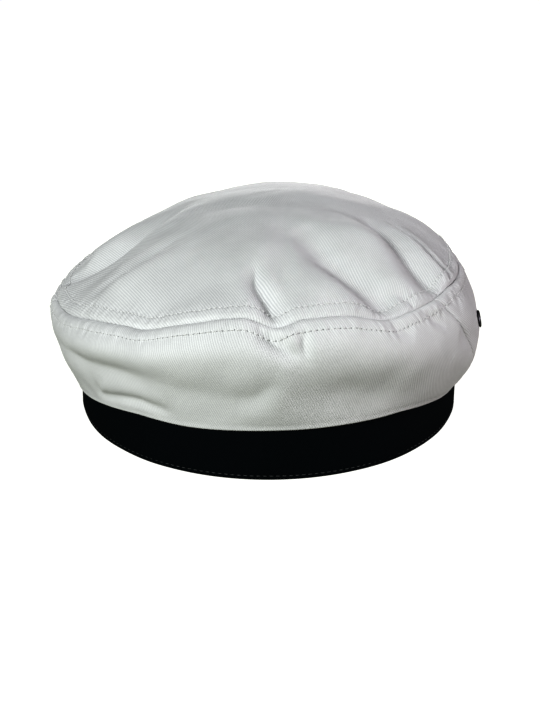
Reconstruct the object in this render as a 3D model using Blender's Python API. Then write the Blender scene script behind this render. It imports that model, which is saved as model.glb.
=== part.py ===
# Sailor cap: a soft white cotton crown over a black cloth band.
#
# The cap stands on its band. The origin is the centre of the band's lower edge,
# +Z is up, +Y points to the front of the cap and the centre back faces -Y.
# An angle round the cap is counted in degrees from the centre back, positive toward +X.

import math
from collections import namedtuple

import bmesh
import bpy
from mathutils import Matrix, Vector

# Driving dimensions, in metres and degrees
HEAD_WIDTH = 0.1680          # inside of the band, side to side
HEAD_LENGTH = 0.2000         # inside of the band, back to front
BAND_HEIGHT = 0.0300
BAND_WALL = 0.0025
BAND_EDGE_RADIUS = 0.0005
BAND_SEAM_WIDTH = 0.0016
BAND_SEAM_DEPTH = 0.0004
CLOTH_WALL = 0.0016
SEAM_GAP = 0.0003            # clearance between pieces that are sewn together
CROWN_HEIGHT = 0.0940        # top of the dome above the band's lower edge
OVERHANG = 0.0120            # how far the full side panel swells past the band
FOLD_DEPTH = 0.0040
FOLD_WIDTH = 0.0060
CROWN_TURN = -15.5           # how far the crown is turned on the band
BACK_PANEL_ANGLE = 131.0     # stretch of the back panel along the upper seam
SIDE_SEAM_SLANT = 25.0       # how far each side seam runs forward on its way down
EYELET_ANGLE = 91.0          # from the middle of the back panel
EYELET_HEIGHT = 0.57         # share of the way from the hem to the upper seam
EYELET_RADIUS = 0.0042
EYELET_BORE_RADIUS = 0.0021
EYELET_TUBE_WALL = 0.0005
EYELET_FLANGE = 0.0009

# How finely the surfaces are divided
BACK_COLUMNS = 44
FRONT_COLUMNS = 50
SIDE_ROWS = 10
TOP_RINGS = 13
BAND_COLUMNS = 96
EYELET_SIDES = 16
FOLD_STEPS = 12
RING_SPACING = 0.85          # below 1, the top panel's rings stand closer near the seam

# How the cloth curves
SWELL_ROUNDNESS = 0.9        # power of the side panel's swell, fuller below 1
RIDGE_AWAY = 2.0             # from a fold's line to the top of its ridge, in fold widths
RIDGE_WIDTH = 1.3            # in fold widths
FOLD_REACH = 5.0             # in fold widths
FOLD_END = 0.08              # share of the arch that each end of a fold starts with
HEM_FLAT = (0.02, 0.15)      # folds grow from nothing between these shares of the rise
SEAM_FLAT = (0.90, 1.00)     # folds of the side panel die out between these shares
RIM_FLAT = (0.93, 1.00)      # folds of the top panel die out between these shares
PEAK_SHARE = 0.05            # folds this near the dome's middle push straight up or down

# Middle of the dome, in shares of half the band's outer width and length
DOME_MIDDLE = (0.10, 0.06)

# Sections round the crown.
#   hem    height of the side panel's lower edge, a share of BAND_HEIGHT
#   bulge  how far the panel swells out, a share of OVERHANG
#   belly  power that lifts the fullest place, halfway up at 1
#   lean   how far out the upper seam stands, a share of OVERHANG
#   rise   height of the upper seam, a share of CROWN_HEIGHT
#   dome   power of the top panel's fall toward the seam
Section = namedtuple("Section", "angle hem bulge belly lean rise dome")
SECTIONS = [
    Section(-180, 0.70, 0.92, 1.0, 0.30, 0.780, 1.8),
    Section(-150, 0.70, 0.94, 1.1, 0.40, 0.715, 1.8),
    Section(-120, 0.63, 0.95, 1.5, 0.55, 0.600, 1.9),
    Section(-90, 0.55, 0.96, 1.8, 0.62, 0.530, 2.0),
    Section(-72, 0.54, 1.00, 1.7, 0.60, 0.545, 2.0),
    Section(-60, 0.57, 1.00, 1.4, 0.55, 0.570, 2.1),
    Section(-50, 0.60, 1.00, 1.1, 0.50, 0.605, 2.2),
    Section(-38, 0.68, 1.00, 1.0, 0.45, 0.632, 2.4),
    Section(-32, 0.69, 1.00, 0.9, 0.45, 0.637, 2.5),
    Section(-21, 0.69, 1.00, 0.9, 0.45, 0.690, 2.6),
    Section(-6, 0.72, 1.00, 0.9, 0.40, 0.738, 2.6),
    Section(2, 0.73, 1.00, 0.9, 0.40, 0.698, 2.6),
    Section(8, 0.73, 1.00, 0.9, 0.40, 0.728, 2.6),
    Section(19, 0.73, 1.00, 0.9, 0.40, 0.728, 2.6),
    Section(31, 0.72, 0.95, 0.9, 0.35, 0.680, 2.5),
    Section(38, 0.71, 0.95, 0.9, 0.30, 0.686, 2.4),
    Section(48, 0.65, 0.92, 0.9, 0.20, 0.690, 2.3),
    Section(60, 0.58, 0.90, 0.8, 0.05, 0.700, 2.2),
    Section(90, 0.55, 0.87, 0.8, -0.08, 0.678, 2.0),
    Section(120, 0.62, 0.80, 0.8, 0.00, 0.710, 1.9),
    Section(150, 0.70, 0.86, 0.9, 0.20, 0.770, 1.8),
]

# Folds in the top panel. The line runs from start by way of middle to end, in shares
# of half the band's outer width and length, seen from above.
#   depth  of the valley, a share of FOLD_DEPTH
#   width  of the valley, a share of FOLD_WIDTH
#   left, right  height of the ridges to the left and right of the line, shares of FOLD_DEPTH
Fold = namedtuple("Fold", "name start middle end depth width left right")
TOP_FOLDS = [
    Fold("left deep", (-1.04, -0.15), (-0.80, -0.16), (-0.52, 0.02), 1.10, 0.9, 0.70, 0.20),
    Fold("left soft", (-0.86, -0.47), (-0.67, -0.49), (-0.44, -0.36), 0.60, 1.1, 0.25, 0.25),
    Fold("centre pinch", (0.02, -1.04), (-0.05, -0.87), (-0.07, -0.68), 0.90, 0.8, 0.10, 0.70),
    Fold("wide sag", (0.58, -0.88), (0.34, -0.82), (0.10, -0.57), 0.85, 1.6, 0.20, 0.40),
    Fold("corner crease", (0.82, -0.64), (0.59, -0.49), (0.40, -0.14), 1.10, 0.8, 0.20, 0.60),
    Fold("right thin", (0.95, -0.42), (0.78, -0.25), (0.62, 0.05), 0.55, 0.6, 0.15, 0.30),
    Fold("corner short", (0.74, -0.76), (0.66, -0.77), (0.58, -0.73), 0.45, 0.7, 0.15, 0.25),
    Fold("front left", (-0.62, 0.80), (-0.45, 0.66), (-0.20, 0.52), 0.45, 1.5, 0.20, 0.20),
    Fold("front right", (0.70, 0.72), (0.52, 0.60), (0.32, 0.40), 0.45, 1.5, 0.20, 0.20),
]

# Folds in the side panels. Places are an angle and a share of the way from the hem
# to the upper seam.
SIDE_FOLDS = [
    Fold("left drag", (-66, 0.70), (-32, 0.50), (-4, 0.34), 0.85, 1.1, 0.25, 0.45),
    Fold("left hem roll", (-56, 0.26), (-38, 0.18), (-18, 0.14), 0.75, 0.7, 0.35, 0.10),
    Fold("right hollow", (-6, 0.39), (18, 0.37), (48, 0.30), 0.55, 1.6, 0.15, 0.20),
    Fold("centre drag", (1, 1.02), (3, 0.90), (8, 0.72), 0.60, 0.8, 0.10, 0.30),
    Fold("corner drag", (30, 0.98), (38, 0.84), (52, 0.80), 0.50, 0.8, 0.10, 0.20),
    Fold("right side", (62, 0.36), (84, 0.46), (108, 0.40), 0.55, 1.4, 0.15, 0.20),
    Fold("left side", (-112, 0.44), (-92, 0.52), (-72, 0.36), 0.60, 1.3, 0.20, 0.20),
    Fold("front low", (150, 0.42), (176, 0.38), (206, 0.44), 0.45, 1.5, 0.15, 0.15),
]

BAND_HALF_WIDTH = HEAD_WIDTH / 2 + BAND_WALL
BAND_HALF_LENGTH = HEAD_LENGTH / 2 + BAND_WALL
HEM_REACH = SEAM_GAP + CLOTH_WALL


def clear_scene():
    for old in list(bpy.data.objects):
        bpy.data.objects.remove(old, do_unlink=True)


def make_material(name, colour, roughness, metallic=0.0):
    material = bpy.data.materials.new(name)
    material.use_nodes = True
    shader = material.node_tree.nodes["Principled BSDF"]
    shader.inputs["Base Color"].default_value = (*colour, 1.0)
    shader.inputs["Roughness"].default_value = roughness
    shader.inputs["Metallic"].default_value = metallic
    material.diffuse_color = (*colour, 1.0)
    return material


def add_object(name, mesh_data, material):
    mesh = bpy.data.meshes.new(name)
    mesh_data.to_mesh(mesh)
    mesh_data.free()
    mesh.materials.append(material)
    mesh.shade_smooth()
    mesh.set_sharp_from_angle(angle=math.radians(50))
    piece = bpy.data.objects.new(name, mesh)
    bpy.context.scene.collection.objects.link(piece)
    return piece


def blend(low, high, share):
    return low + (high - low) * share


def fade(value, start, end):
    """Smooth step from 0 at start to 1 at end."""
    share = min(max((value - start) / (end - start), 0.0), 1.0)
    return share * share * (3 - 2 * share)


def section_at(angle):
    """Section at an angle, on a smooth closed curve through the table's rows."""
    angle = (angle + 180) % 360 - 180
    count = len(SECTIONS)
    after = next((i for i, row in enumerate(SECTIONS) if row.angle > angle), count)
    rows = []
    for step in (-2, -1, 0, 1):
        row = SECTIONS[(after + step) % count]
        turns = (after + step) // count
        rows.append(row._replace(angle=row.angle + 360 * turns))
    before, low, high, beyond = rows
    span = high.angle - low.angle
    s = (angle - low.angle) / span
    values = [angle]
    for column in range(1, len(low)):
        slope_low = (high[column] - before[column]) / (high.angle - before.angle) * span
        slope_high = (beyond[column] - low[column]) / (beyond.angle - low.angle) * span
        value = (2 * s ** 3 - 3 * s ** 2 + 1) * low[column] + (s ** 3 - 2 * s ** 2 + s) * slope_low
        value += (3 * s ** 2 - 2 * s ** 3) * high[column] + (s ** 3 - s ** 2) * slope_high
        values.append(value)
    return Section(*values)


def oval_point(angle, reach, height):
    """Point round the cap, reach metres outside the band's outer face."""
    turn = math.radians(angle)
    x = math.sin(turn) * (BAND_HALF_WIDTH + reach)
    y = -math.cos(turn) * (BAND_HALF_LENGTH + reach)
    return Vector((x, y, height))


def fold_line(fold, to_plane):
    """Points of a fold's line, an arc of a parabola through its three places."""
    points = []
    for step in range(FOLD_STEPS + 1):
        s = step / FOLD_STEPS
        weights = ((1 - s) * (1 - 2 * s), 4 * s * (1 - s), s * (2 * s - 1))
        ends = (fold.start, fold.middle, fold.end)
        place = [sum(w * end[axis] for w, end in zip(weights, ends)) for axis in (0, 1)]
        points.append(to_plane(*place))
    return points


def fold_offset(fold, line, place):
    """Offset along the surface's normal at a place, from one fold."""
    best = None
    for step, (a, b) in enumerate(zip(line, line[1:])):
        along = b - a
        share = min(max((place - a).dot(along) / along.length_squared, 0.0), 1.0)
        away = place - (a + along * share)
        if best is None or away.length < best[0]:
            side = along.x * away.y - along.y * away.x
            best = (away.length, math.copysign(1.0, side), (step + share) / (len(line) - 1))
    distance, side, progress = best
    width = fold.width * FOLD_WIDTH
    away = distance / width
    if away > FOLD_REACH:
        return 0.0
    strength = math.sqrt(math.sin(math.pi * blend(FOLD_END, 1 - FOLD_END, progress)))
    valley = -fold.depth * math.exp(-away ** 2)
    ridge = (fold.left if side > 0 else fold.right) * math.exp(-((away - RIDGE_AWAY) / RIDGE_WIDTH) ** 2)
    return strength * FOLD_DEPTH * (valley + ridge)


def top_plane(x_share, y_share):
    return Vector((x_share * BAND_HALF_WIDTH, y_share * BAND_HALF_LENGTH))


def side_plane(angle, rise_share):
    row = section_at(angle)
    height = row.rise * CROWN_HEIGHT - row.hem * BAND_HEIGHT
    return Vector((math.radians(angle) * BAND_HALF_LENGTH, rise_share * height))


def plain_side(angle, rise_share):
    """Side panel's outer face before its folds."""
    row = section_at(angle)
    seam_reach = row.lean * OVERHANG
    swell = row.bulge * OVERHANG - (HEM_REACH + seam_reach) / 2
    reach = blend(HEM_REACH, seam_reach, rise_share)
    reach += swell * math.sin(math.pi * rise_share ** row.belly) ** SWELL_ROUNDNESS
    height = blend(row.hem * BAND_HEIGHT, row.rise * CROWN_HEIGHT, rise_share)
    return oval_point(angle, reach, height)


def plain_top(angle, rim_share):
    """Top panel's outer face before its folds."""
    row = section_at(angle)
    rim = plain_side(angle, 1.0)
    middle = top_plane(*DOME_MIDDLE)
    height = blend(CROWN_HEIGHT, rim.z, rim_share ** row.dome)
    return Vector((blend(middle.x, rim.x, rim_share), blend(middle.y, rim.y, rim_share), height))


def normal_of(surface, angle, share):
    """Normal of a surface, which points out where the share runs up and in where it runs out."""
    turn_step, share_step = 1.0, 0.01
    across = surface(angle + turn_step, share) - surface(angle - turn_step, share)
    forward = surface(angle, min(share + share_step, 1.0)) - surface(angle, max(share - share_step, 0.0))
    return across.cross(forward).normalized()


TOP_LINES = [fold_line(fold, top_plane) for fold in TOP_FOLDS]
SIDE_LINES = [fold_line(fold, side_plane) for fold in SIDE_FOLDS]


def side_surface(angle, rise_share):
    """Side panel's outer face with its folds, which fade out at both seams."""
    point = plain_side(angle, rise_share)
    strength = fade(rise_share, *HEM_FLAT) * (1 - fade(rise_share, *SEAM_FLAT))
    if strength == 0:
        return point
    offset = 0.0
    for turn in (-360, 0, 360):
        place = side_plane(angle + turn, rise_share)
        offset += sum(fold_offset(fold, line, place) for fold, line in zip(SIDE_FOLDS, SIDE_LINES))
    return point + normal_of(plain_side, angle, rise_share) * offset * strength


def top_surface(angle, rim_share):
    """Top panel's outer face with its folds, which fade out at the seam."""
    point = plain_top(angle, rim_share)
    place = point.xy
    offset = sum(fold_offset(fold, line, place) for fold, line in zip(TOP_FOLDS, TOP_LINES))
    strength = 1 - fade(rim_share, *RIM_FLAT)
    if rim_share < PEAK_SHARE:
        return point + Vector((0, 0, offset * strength))
    return point - normal_of(plain_top, angle, rim_share) * offset * strength


def side_seam_angles(rise_share):
    """Angles of the left and right side seams at a height."""
    forward = SIDE_SEAM_SLANT * (1 - rise_share)
    half = BACK_PANEL_ANGLE / 2 + forward
    return CROWN_TURN - half, CROWN_TURN + half


def side_seam_clearance():
    """Angle that each panel keeps from the side seam's line."""
    run = math.radians(SIDE_SEAM_SLANT) * BAND_HALF_LENGTH
    rise = CROWN_HEIGHT - BAND_HEIGHT
    level_gap = SEAM_GAP / 2 * math.hypot(run, rise) / rise
    return math.degrees(level_gap / min(BAND_HALF_WIDTH, BAND_HALF_LENGTH))


def panel_angles(first, last, columns):
    edge = side_seam_clearance()
    return [blend(first + edge, last - edge, i / columns) for i in range(columns + 1)]


def back_angles(rise_share):
    left, right = side_seam_angles(rise_share)
    return panel_angles(left, right, BACK_COLUMNS)


def front_angles(rise_share):
    left, right = side_seam_angles(rise_share)
    return panel_angles(right, left + 360, FRONT_COLUMNS)


def seam_corner(angle):
    """Upper seam at an angle: its outer and inner corners, and the way up across it."""
    outward = normal_of(plain_side, angle, 1.0)
    upward = -normal_of(plain_top, angle, 1.0)
    mitre = (outward + upward).normalized()
    along = (plain_side(angle + 1, 1.0) - plain_side(angle - 1, 1.0)).normalized()
    across = mitre.cross(along).normalized()
    if across.z < 0:
        across = -across
    corner = plain_side(angle, 1.0)
    return corner, corner - mitre * (CLOTH_WALL / mitre.dot(outward)), across * (SEAM_GAP / 2)


def grid_normals(rows, closed):
    """Normals of a grid of points whose rows run to the right and are stacked upward."""
    normals = []
    for r, row in enumerate(rows):
        above = rows[min(r + 1, len(rows) - 1)]
        below = rows[max(r - 1, 0)]
        line = []
        for c in range(len(row)):
            if closed:
                across = row[(c + 1) % len(row)] - row[c - 1]
            else:
                across = row[min(c + 1, len(row) - 1)] - row[max(c - 1, 0)]
            line.append(across.cross(above[c] - below[c]).normalized())
        normals.append(line)
    return normals


def side_panel(name, angles_at, material):
    """Wall of cloth between two side seams, from the hem to the upper seam."""
    outer = []
    for r in range(SIDE_ROWS + 1):
        share = r / SIDE_ROWS
        outer.append([side_surface(angle, share) for angle in angles_at(share)])
    normals = grid_normals(outer, closed=False)
    inner = [[p - n * CLOTH_WALL for p, n in zip(*pair)] for pair in zip(outer, normals)]
    for c, angle in enumerate(angles_at(1.0)):
        outside, inside, clearance = seam_corner(angle)
        outer[-1][c] = outside - clearance
        inner[-1][c] = inside - clearance
    bm = bmesh.new()
    outer_verts = [[bm.verts.new(p) for p in row] for row in outer]
    inner_verts = [[bm.verts.new(p) for p in row] for row in inner]
    last = len(outer[0]) - 1
    for r in range(SIDE_ROWS):
        for c in range(last):
            low, high = outer_verts[r], outer_verts[r + 1]
            bm.faces.new((low[c], low[c + 1], high[c + 1], high[c]))
            low, high = inner_verts[r], inner_verts[r + 1]
            bm.faces.new((low[c + 1], low[c], high[c], high[c + 1]))
        for c in (0, last):
            bm.faces.new((outer_verts[r][c], inner_verts[r][c], inner_verts[r + 1][c], outer_verts[r + 1][c]))
    for c in range(last):
        for r in (0, SIDE_ROWS):
            bm.faces.new((outer_verts[r][c], outer_verts[r][c + 1], inner_verts[r][c + 1], inner_verts[r][c]))
    bmesh.ops.triangulate(bm, faces=bm.faces)
    bmesh.ops.recalc_face_normals(bm, faces=bm.faces)
    return add_object(name, bm, material)


def top_panel(name, material):
    """Domed disc of cloth inside the upper seam."""
    angles = back_angles(1.0) + front_angles(1.0)
    outer = []
    for r in range(1, TOP_RINGS + 1):
        share = (r / TOP_RINGS) ** RING_SPACING
        outer.append([top_surface(angle, share) for angle in angles])
    normals = grid_normals(outer, closed=True)
    inner = [[p + n * CLOTH_WALL for p, n in zip(*pair)] for pair in zip(outer, normals)]
    for c, angle in enumerate(angles):
        outside, inside, clearance = seam_corner(angle)
        outer[-1][c] = outside + clearance
        inner[-1][c] = inside + clearance
    bm = bmesh.new()
    outer_verts = [[bm.verts.new(p) for p in row] for row in outer]
    inner_verts = [[bm.verts.new(p) for p in row] for row in inner]
    peak = top_surface(0.0, 0.0)
    outer_peak = bm.verts.new(peak)
    inner_peak = bm.verts.new(peak - Vector((0, 0, CLOTH_WALL)))
    count = len(angles)
    for c in range(count):
        d = (c + 1) % count
        bm.faces.new((outer_peak, outer_verts[0][c], outer_verts[0][d]))
        bm.faces.new((inner_peak, inner_verts[0][d], inner_verts[0][c]))
        bm.faces.new((outer_verts[-1][c], inner_verts[-1][c], inner_verts[-1][d], outer_verts[-1][d]))
        for r in range(TOP_RINGS - 1):
            near, far = outer_verts[r], outer_verts[r + 1]
            bm.faces.new((near[c], far[c], far[d], near[d]))
            near, far = inner_verts[r], inner_verts[r + 1]
            bm.faces.new((near[d], far[d], far[c], near[c]))
    bmesh.ops.triangulate(bm, faces=bm.faces)
    bmesh.ops.recalc_face_normals(bm, faces=bm.faces)
    return add_object(name, bm, material)


def band_section():
    """Outline of the band's wall: reach from its outer face and height, edges rounded."""
    radius = BAND_EDGE_RADIUS
    corners = [
        (-radius, radius, -90),
        (-radius, BAND_HEIGHT - radius, 0),
        (radius - BAND_WALL, BAND_HEIGHT - radius, 90),
        (radius - BAND_WALL, radius, 180),
    ]
    outline = []
    for reach, height, start in corners:
        for turn in (0, 90):
            a = math.radians(start + turn)
            outline.append((reach + radius * math.cos(a), height + radius * math.sin(a)))
    return outline


def band(name, material):
    """Oval ring of folded cloth with a narrow seam groove at the centre back."""
    half_groove = math.degrees(BAND_SEAM_WIDTH / 2 / BAND_HALF_WIDTH)
    angles = [360 * i / BAND_COLUMNS for i in range(BAND_COLUMNS)]
    angles = [0.0, half_groove] + angles[1:] + [360 - half_groove]
    outline = band_section()
    bm = bmesh.new()
    rings = []
    for angle in angles:
        groove = BAND_SEAM_DEPTH if angle == 0 else 0.0
        ring = []
        for reach, height in outline:
            outer_face = reach > -BAND_WALL / 2
            ring.append(bm.verts.new(oval_point(angle, reach - groove * outer_face, height)))
        rings.append(ring)
    for ring, following in zip(rings, rings[1:] + rings[:1]):
        for i in range(len(outline)):
            j = (i + 1) % len(outline)
            bm.faces.new((ring[i], following[i], following[j], ring[j]))
    bmesh.ops.recalc_face_normals(bm, faces=bm.faces)
    return add_object(name, bm, material)


def eyelet_frame(side):
    """Place of an eyelet's middle on the side panel, its local Z along the way out."""
    angle = CROWN_TURN + side * EYELET_ANGLE
    place = side_surface(angle, EYELET_HEIGHT)
    outward = normal_of(side_surface, angle, EYELET_HEIGHT)
    return Matrix.Translation(place) @ outward.to_track_quat("Z", "Y").to_matrix().to_4x4()


def eyelet_seat():
    """Depths of the seats under both flanges, clear of the curved cloth."""
    curve = EYELET_RADIUS ** 2 / BAND_HEIGHT
    return SEAM_GAP, -(CLOTH_WALL + curve + SEAM_GAP)


def eyelet(name, side, material):
    """Turned metal eyelet: a flange outside, a tube through the cloth, a flange inside."""
    top, bottom = eyelet_seat()
    tube = EYELET_BORE_RADIUS + EYELET_TUBE_WALL
    outline = [
        (EYELET_BORE_RADIUS, bottom - EYELET_FLANGE * 0.5),
        (EYELET_RADIUS, bottom - EYELET_FLANGE * 0.5),
        (EYELET_RADIUS, bottom),
        (tube, bottom),
        (tube, top),
        (EYELET_RADIUS, top),
        (EYELET_RADIUS - EYELET_FLANGE * 0.2, top + EYELET_FLANGE * 0.7),
        (blend(EYELET_RADIUS, EYELET_BORE_RADIUS, 0.5), top + EYELET_FLANGE),
        (EYELET_BORE_RADIUS + EYELET_FLANGE * 0.2, top + EYELET_FLANGE * 0.7),
        (EYELET_BORE_RADIUS, top),
    ]
    bm = bmesh.new()
    verts = [bm.verts.new((radius, 0, height)) for radius, height in outline]
    edges = [bm.edges.new((a, b)) for a, b in zip(verts, verts[1:] + verts[:1])]
    bmesh.ops.spin(bm, geom=verts + edges, cent=(0, 0, 0), axis=(0, 0, 1),
                   angle=2 * math.pi, steps=EYELET_SIDES, use_merge=True)
    bmesh.ops.remove_doubles(bm, verts=bm.verts, dist=1e-6)
    bmesh.ops.recalc_face_normals(bm, faces=bm.faces)
    piece = add_object(name, bm, material)
    piece.matrix_world = eyelet_frame(side)
    return piece


def cut_eyelet_hole(panel, side):
    """Round hole through the cloth, clear of the eyelet's tube."""
    radius = EYELET_BORE_RADIUS + EYELET_TUBE_WALL + SEAM_GAP
    bm = bmesh.new()
    bmesh.ops.create_cone(bm, cap_ends=True, segments=EYELET_SIDES, radius1=radius,
                          radius2=radius, depth=8 * CLOTH_WALL)
    cutter = add_object("hole_cutter", bm, panel.data.materials[0])
    cutter.matrix_world = eyelet_frame(side)
    cutter.hide_render = True
    cutter.display_type = "WIRE"
    cut = panel.modifiers.new("eyelet hole", "BOOLEAN")
    cut.operation = "DIFFERENCE"
    cut.object = cutter


def build():
    clear_scene()
    white = make_material("white_cotton", (0.78, 0.78, 0.77), 0.90)
    black = make_material("black_band_cloth", (0.012, 0.012, 0.015), 0.85)
    metal = make_material("dark_metal", (0.10, 0.10, 0.11), 0.40, 1.0)
    band("band", black)
    side_panel("crown_back", back_angles, white)
    front = side_panel("crown_front", front_angles, white)
    top_panel("crown_top", white)
    for name, side in (("eyelet_right", 1), ("eyelet_left", -1)):
        eyelet(name, side, metal)
        cut_eyelet_hole(front, side)


build()
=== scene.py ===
import math

import bmesh
import bpy
import numpy as np
from mathutils import Matrix, Vector


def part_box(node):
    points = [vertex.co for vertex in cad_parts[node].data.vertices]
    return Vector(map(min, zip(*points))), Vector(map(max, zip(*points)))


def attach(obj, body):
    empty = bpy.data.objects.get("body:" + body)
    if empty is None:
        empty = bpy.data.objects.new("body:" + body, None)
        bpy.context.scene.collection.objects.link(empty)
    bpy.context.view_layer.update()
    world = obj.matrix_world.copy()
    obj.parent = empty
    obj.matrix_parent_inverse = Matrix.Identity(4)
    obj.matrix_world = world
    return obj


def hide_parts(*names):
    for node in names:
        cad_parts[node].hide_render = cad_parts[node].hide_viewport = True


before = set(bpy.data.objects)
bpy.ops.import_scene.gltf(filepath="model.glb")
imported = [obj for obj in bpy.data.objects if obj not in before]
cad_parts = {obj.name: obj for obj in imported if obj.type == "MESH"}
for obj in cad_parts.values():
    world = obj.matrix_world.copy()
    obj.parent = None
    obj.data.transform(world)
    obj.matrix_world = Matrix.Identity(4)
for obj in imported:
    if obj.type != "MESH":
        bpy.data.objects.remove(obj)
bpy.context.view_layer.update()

# Sailor cap seen from behind: white cotton twill crown, black cloth band, dark vent eyelets.
# Angles go round the cap in degrees from the centre back, positive toward +X.

bandLow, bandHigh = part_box("band")
_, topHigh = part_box("crown_top")
capSize = {
    "bandHalfWidth": (bandHigh.x - bandLow.x) / 2,
    "bandHalfLength": bandHigh.y,
    "bandHeight": bandHigh.z,
    "crownHeight": topHigh.z,
    "overhang": 0.0120,
    "hemReach": 0.0019,       # cloth's outer face at the hem, from the band's outer face
    "clothThickness": 0.0011,
    "crownTurn": -15.5,       # the crown sits turned on the band
    "backPanelAngle": 131.0,
    "sideSeamSlant": 25.0,
    "domeMiddle": (0.10, 0.06),
    "swellPower": 0.9,        # below 1, the sides' swell is fuller
    "insideHeight": 0.45,     # a height inside the cap, as a share of the crown's
}

# hem: share of the band's height; bulge and lean: shares of the overhang;
# belly: lifts the fullest place; rise: share of the crown's height; dome: roundness of the top
crownColumns = ("angle", "hem", "bulge", "belly", "lean", "rise", "dome")
crownSections = [
    (-180, 0.70, 0.92, 1.0, 0.30, 0.780, 1.8),
    (-150, 0.70, 0.94, 1.1, 0.40, 0.715, 1.8),
    (-120, 0.60, 0.95, 1.5, 0.65, 0.600, 1.9),
    (-90, 0.46, 0.86, 1.8, 0.80, 0.530, 2.0),
    (-72, 0.45, 0.92, 1.7, 0.68, 0.545, 2.0),
    (-60, 0.52, 0.98, 1.6, 0.57, 0.570, 2.1),
    (-50, 0.60, 0.98, 1.6, 0.50, 0.605, 2.2),
    (-38, 0.68, 0.97, 1.7, 0.45, 0.632, 2.4),
    (-32, 0.69, 0.97, 1.7, 0.45, 0.637, 2.5),
    (-21, 0.69, 0.97, 1.8, 0.45, 0.690, 2.6),
    (-6, 0.72, 0.97, 1.8, 0.40, 0.738, 2.6),
    (2, 0.73, 0.97, 1.8, 0.40, 0.698, 2.6),
    (8, 0.73, 0.97, 1.8, 0.40, 0.728, 2.6),
    (19, 0.73, 0.97, 1.7, 0.40, 0.728, 2.6),
    (31, 0.72, 0.92, 1.6, 0.35, 0.680, 2.5),
    (38, 0.71, 0.88, 1.4, 0.30, 0.686, 2.4),
    (48, 0.65, 0.86, 1.2, 0.20, 0.690, 2.3),
    (60, 0.58, 0.85, 1.0, 0.05, 0.700, 2.2),
    (90, 0.55, 0.78, 0.8, -0.08, 0.678, 2.0),
    (120, 0.62, 0.80, 0.8, 0.00, 0.710, 1.9),
    (150, 0.70, 0.86, 0.9, 0.20, 0.770, 1.8),
]

# shape of every fold, with lengths in widths of the fold
foldShape = {
    "curveSteps": 6,          # short lines from one place to the next
    "reach": 5.0,
    "endShare": 0.01,
    "endPower": 0.6,          # how fast a fold grows in from its ends
    "ridgePlace": 2.0,
    "ridgeWidth": 1.3,
    "valleyFloor": 0.04,      # rounds the bottom of the valley
}

# depth, width, height of the left and the right ridge (in mm), sharpness and places of each fold;
# a place is seen from above, in shares of the band's half width and length
topFolds = [
    (4.4, 7.2, 3.0, 1.8, 1.9, (
        (-1.06, 0.01), (-0.99, -0.04), (-0.90, -0.05), (-0.76, -0.02), (-0.64, 0.05), (-0.48, 0.20))),
    (2.4, 6.5, 0.8, 1.4, 1.8, (
        (-0.84, -0.52), (-0.76, -0.47), (-0.66, -0.45), (-0.57, -0.41), (-0.50, -0.37), (-0.42, -0.32))),
    (-0.5, 1.0, 0.0, 0.0, 1.6, ((-0.85, -0.42), (-0.81, -0.42), (-0.77, -0.42), (-0.72, -0.43))),
    (3.4, 3.2, 0.8, 1.1, 1.5, (
        (0.06, -1.14), (0.01, -0.97), (-0.02, -0.92), (-0.05, -0.87), (-0.06, -0.82), (-0.055, -0.76))),
    (5.8, 8.6, 0.8, 1.2, 2.2, (
        (0.13, -0.46), (0.20, -0.56), (0.27, -0.65), (0.35, -0.72), (0.43, -0.775),
        (0.51, -0.825), (0.60, -0.89))),
    (5.2, 6.4, 2.2, 0.8, 1.5, (
        (0.49, -0.17), (0.555, -0.30), (0.62, -0.40), (0.685, -0.485), (0.75, -0.56),
        (0.82, -0.62), (0.90, -0.68))),
    (2.6, 2.4, 0.8, 0.7, 1.3, (
        (0.64, -0.14), (0.70, -0.22), (0.76, -0.30), (0.82, -0.37), (0.88, -0.43), (0.95, -0.49))),
    (1.6, 2.4, 0.3, 0.6, 1.4, ((0.50, -0.79), (0.60, -0.75), (0.65, -0.77), (0.70, -0.78), (0.78, -0.76))),
    (1.0, 9.0, 0.7, 0.2, 2.0, (
        (-0.25, -0.02), (-0.18, -0.09), (-0.07, -0.15), (0.06, -0.18), (0.20, -0.16),
        (0.34, -0.20), (0.46, -0.18))),
    (1.8, 9.0, 0.8, 0.8, 2.0, ((-0.62, 0.80), (-0.45, 0.66), (-0.20, 0.52))),
    (1.8, 9.0, 0.8, 0.8, 2.0, ((0.70, 0.72), (0.52, 0.60), (0.32, 0.40))),
]

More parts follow.
